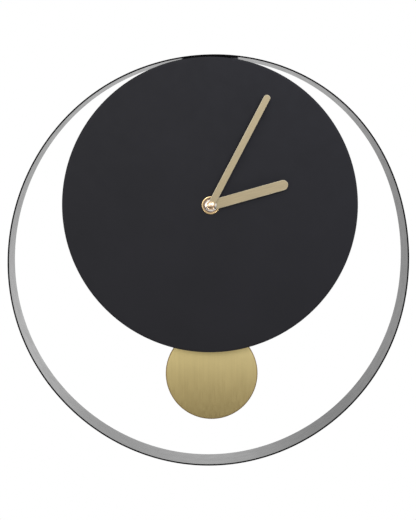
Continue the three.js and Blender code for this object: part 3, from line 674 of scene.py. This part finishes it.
def screw_mesh(length):
    """A pan-head screw with a cross recess, its head's seat at the origin and its tip towards -Y."""
    shank, head = SCREW_SHANK_RADIUS, SCREW_HEAD_RADIUS
    profile = rounded([(0, -length), (shank * 0.5, -length), (shank, 0.9 * MM - length), (shank, 0),
                       (head, 0), (head, 0.5 * MM), (head * 0.62, SCREW_HEAD), (0, SCREW_HEAD)],
                      [0, 0, 0, 0, 0.12 * MM, 0.35 * MM, 0.5 * MM, 0], 4)
    body = bpy.data.objects.new("screw_body", bpy.data.meshes.new("screw_body"))
    turn(body, profile, Vector((0, 0, 0)), 40)
    arm, half = head * 0.55, 0.25 * MM
    cross = [(arm, half), (half, half), (half, arm), (-half, arm), (-half, half), (-arm, half),
             (-arm, -half), (-half, -half), (-half, -arm), (half, -arm), (half, -half), (arm, -half)]
    cutter = bpy.data.objects.new("screw_cross", bpy.data.meshes.new("screw_cross"))
    fill(cutter, *loops([[(x, y, z) for x, z in cross] for y in (0.55 * MM, 2 * MM)], False))
    for obj in (body, cutter):
        scene.collection.objects.link(obj)
    cut = body.modifiers.new("cross", "BOOLEAN")
    cut.operation = "DIFFERENCE"
    cut.object = cutter
    evaluated = body.evaluated_get(bpy.context.evaluated_depsgraph_get())
    mesh = bpy.data.meshes.new_from_object(evaluated)
    for obj in (body, cutter):
        bpy.data.objects.remove(obj)
    return mesh


def place_screws():
    """Each screw's mesh, with the recess turned a different way in each."""
    meshes = {kind: screw_mesh(length) for kind, length in SCREW_LENGTHS.items()}
    for index, name in enumerate(SCREWS):
        place = centre_of(name)
        seat = depth_of(name)[1] - SCREW_HEAD
        obj = new_piece(name + "_head", "frame", finishes["steel"], name)
        obj.data = meshes[name.rsplit("_", 1)[0]].copy()
        dress(obj, finishes["steel"])
        turned = Matrix.Rotation(0.7 * index + 0.2, 4, "Y")
        obj.data.transform(Matrix.Translation((place.x, seat, place.z)) @ turned)
        shade(obj, 35)


def make_knob():
    """The setting knob: a knurled rim round a dished face."""
    low, high = box_of("setting_knob")
    middle = (low + high) / 2
    obj = new_piece("knob", "setting_arbor", finishes["grey_plastic"], "setting_knob")
    teeth, around = 20, 160
    radius = (high.z - low.z) / 2
    # Shares of the radius and of the depth, from the bore over the rim to the dished face.
    profile = [(0.19, 0), (0.8, 0), (0.94, 0), (1, 0.12), (1, 0.85), (0.95, 1), (0.72, 1),
               (0.66, 0.88), (0.19, 0.88)]
    rings = []
    for share, along in profile:
        y = low.y + (high.y - low.y) * along
        ring = []
        for k, (c, s) in enumerate(circle(around)):
            knurl = max(0, math.cos(teeth * 2 * math.pi * k / around)) if share > 0.9 else 0
            r = radius * share * (1 - 0.07 * knurl)
            ring.append((middle.x + r * c, y, middle.z + r * s))
        rings.append(ring)
    fill(obj, *loops(rings, True), angle=40)


def make_grommet():
    """The rubber washer between the dial and the movement, rounded where it is squeezed."""
    front, back = depth_of("rubber_washer")
    obj = new_piece("grommet", "frame", finishes["rubber"], "rubber_washer")
    bore, outer = 4.5 * MM, 11 * MM
    squeezed = rounded([(bore, front), (outer, front), (outer, back), (bore, back)],
                       [0.1 * MM, 0.35 * MM, 0.35 * MM, 0.1 * MM], 4)
    turn(obj, squeezed, HUB)


make_cell()
place_screws()
make_knob()
make_grommet()

# ---------------------------------------------------------------- edges of the CAD nodes

# Nodes of the CAD model that show their own mesh, and how round their edges are, in millimetres.
EDGE_RADIUS = {
    "movement_case": 0.35, "movement_cover": 0.3, "pendulum_pod": 0.45, "hanger_plate": 0.2,
    "ring_bracket_left": 0.18, "ring_bracket_right": 0.18, "swing_arm": 0.3, "hex_nut": 0.2,
    "stud_nut_left": 0.2, "stud_nut_right": 0.2, "pendulum_rod": 0.15, "bob_clip_upper": 0.12,
    "bob_clip_lower": 0.12, "timing_chip": 0.1, "circuit_board": 0.08, "battery_contact_positive": 0.08,
}


def soften(obj, radius):
    """Rounds a CAD node's sharp edges with modifiers."""
    weld = obj.modifiers.new("weld", "WELD")
    weld.merge_threshold = WELD_REACH
    flat = obj.modifiers.new("flat", "DECIMATE")
    flat.decimate_type = "DISSOLVE"
    flat.angle_limit = math.radians(1)
    bevel = obj.modifiers.new("bevel", "BEVEL")
    bevel.width = radius
    bevel.segments = 2
    bevel.limit_method = "ANGLE"
    bevel.angle_limit = math.radians(35)
    bevel.harden_normals = False
    normals = obj.modifiers.new("normals", "WEIGHTED_NORMAL")
    normals.keep_sharp = False


def smoothing():
    """A node group that welds a mesh and shades it smooth, save at its sharp edges."""
    group = bpy.data.node_groups.new("smoothing", "GeometryNodeTree")
    for direction in ("INPUT", "OUTPUT"):
        group.interface.new_socket("Geometry", in_out=direction, socket_type="NodeSocketGeometry")
    t = NodeTree(group)
    source = t.add("NodeGroupInput")
    weld = t.add("GeometryNodeMergeByDistance", {"Geometry": source.outputs["Geometry"],
                                                 "Distance": WELD_REACH})
    faces = t.add("GeometryNodeSetShadeSmooth", {"Geometry": weld.outputs["Geometry"]})
    angle = t.add("GeometryNodeInputMeshEdgeAngle")
    sharp = t.add("FunctionNodeCompare", {"A": angle.outputs["Unsigned Angle"], "B": math.radians(SHARP)},
                  operation="GREATER_THAN")
    edges = t.add("GeometryNodeSetShadeSmooth", {"Geometry": faces.outputs["Geometry"],
                                                 "Selection": sharp.outputs["Result"],
                                                 "Shade Smooth": False}, domain="EDGE")
    t.add("NodeGroupOutput", {"Geometry": edges.outputs["Geometry"]})
    return group


smooth_group = smoothing()
for name, obj in nodes.items():
    if name in EDGE_RADIUS:
        soften(obj, EDGE_RADIUS[name] * MM)
    else:
        obj.modifiers.new("smoothing", "NODES").node_group = smooth_group

# ---------------------------------------------------------------- stage

FLOOR_DROP = 1.1  # under the hoop
FLOOR_RADIUS = 3.0
DIP = 0.3  # share of light that is lost at the four diagonals behind the clock


def make_floor():
    """A round pale floor, well below the clock."""
    mesh = bpy.data.meshes.new("floor")
    height, around = RING_LOW.z - FLOOR_DROP, 180
    rim = [(FLOOR_RADIUS * c, FLOOR_RADIUS * s, height) for c, s in circle(around)]
    mesh.from_pydata(rim, [], [tuple(range(around))])
    floor = bpy.data.objects.new("floor", mesh)
    scene.collection.objects.link(floor)
    s = Shader("floor_matt", (0.82, 0.82, 0.81), 0.9)
    s.vary_color(s.noise(3, 2), 0.98, 1.02)
    dress(floor, s.material)
    floor.visible_glossy = False


def make_light(name, place, size, power, target, color=(1, 1, 1)):
    """A rectangular light at a place in metres, turned towards target."""
    data = bpy.data.lights.new(name, "AREA")
    data.shape = "RECTANGLE"
    data.size, data.size_y = size
    data.energy = power
    data.color = color
    light = bpy.data.objects.new(name, data)
    scene.collection.objects.link(light)
    light.location = place
    light.rotation_euler = (Vector(target) - Vector(place)).to_track_quat("-Z", "Y").to_euler()


def make_world():
    """White to the camera. As light it is bright above and behind, and dimmer low in front."""
    world = bpy.data.worlds.new("studio")
    world.use_nodes = True
    t = NodeTree(world.node_tree)
    background = t.tree.nodes["Background"]
    direction = t.add("ShaderNodeTexCoord").outputs["Generated"]
    split = t.add("ShaderNodeSeparateXYZ", {"Vector": direction})
    x, y, z = (split.outputs[axis] for axis in "XYZ")
    to_camera = t.add("ShaderNodeLightPath").outputs["Is Camera Ray"]

    # In front it is bright above and steeply below, with a dark band between.
    above = t.ramp(z, 0.02, 0.92, -0.4, 0.06)
    below = t.ramp(z, 0.8, 0.0, -0.72, -0.54)
    front = t.calculate("MAXIMUM", above, below)
    # Behind it grows towards the upper right, and dips at the four diagonals.
    plain = t.ramp(t.calculate("ADD", x, z), 0.9, 1.45, -0.2, 0.2)
    across = t.calculate("SUBTRACT", 1.001, t.calculate("MULTIPLY", y, y))
    diagonal = t.calculate("DIVIDE", t.calculate("MULTIPLY", x, z), across)  # 0.5 at 45 degrees
    dip = t.calculate("MULTIPLY", t.calculate("MULTIPLY", diagonal, diagonal), 4 * DIP)
    back = t.calculate("MULTIPLY", plain, t.calculate("SUBTRACT", 1, dip))
    light = t.blend(t.ramp(y, 0, 1, 0, 0.5), front, back)
    t.put(background, "Strength", t.blend(to_camera, light, 1.0))

    # Right in front it is warm below and cool above, and elsewhere neutral.
    warmth = t.blend(t.ramp(z, 0, 1, -0.36, -0.06), (1.0, 0.7, 0.36, 1), (0.97, 1.01, 1.1, 1), "RGBA")
    neutral = t.calculate("MAXIMUM", to_camera, t.ramp(y, 0, 1, -0.92, -0.72))
    t.put(background, "Color", t.blend(neutral, warmth, (1, 1, 1, 1), "RGBA"))
    scene.world = world


def make_lights():
    """A soft key in front and one behind, a cool one at the side, and small ones for the hub."""
    middle = (cad_box[0] + cad_box[1]) / 2
    make_light("key", (-0.3, -1.75, 0.22), (0.5, 0.3), 2.6, middle)
    make_light("back", (0.8, 1.8, 1.1), (1.2, 0.8), 12, middle)
    make_light("side", (0.62, -1.8, 0.45), (0.4, 0.6), 8, middle, (0.72, 0.76, 1))
    make_light("spark_left", (-1.2, -0.9, -1.3), (0.3, 0.3), 3.5, HUB)
    make_light("spark_right", (1.2, -0.9, -1.3), (0.3, 0.3), 3.5, HUB)
    make_light("spark_top", (1.1, -1.1, 1.2), (0.3, 0.3), 3.5, HUB)
    make_light("strip", (-1.2, -1.3, -0.1), (0.12, 0.7), 2.1, HUB)


make_floor()
make_world()
make_lights()
scene.view_settings.view_transform = "Standard"
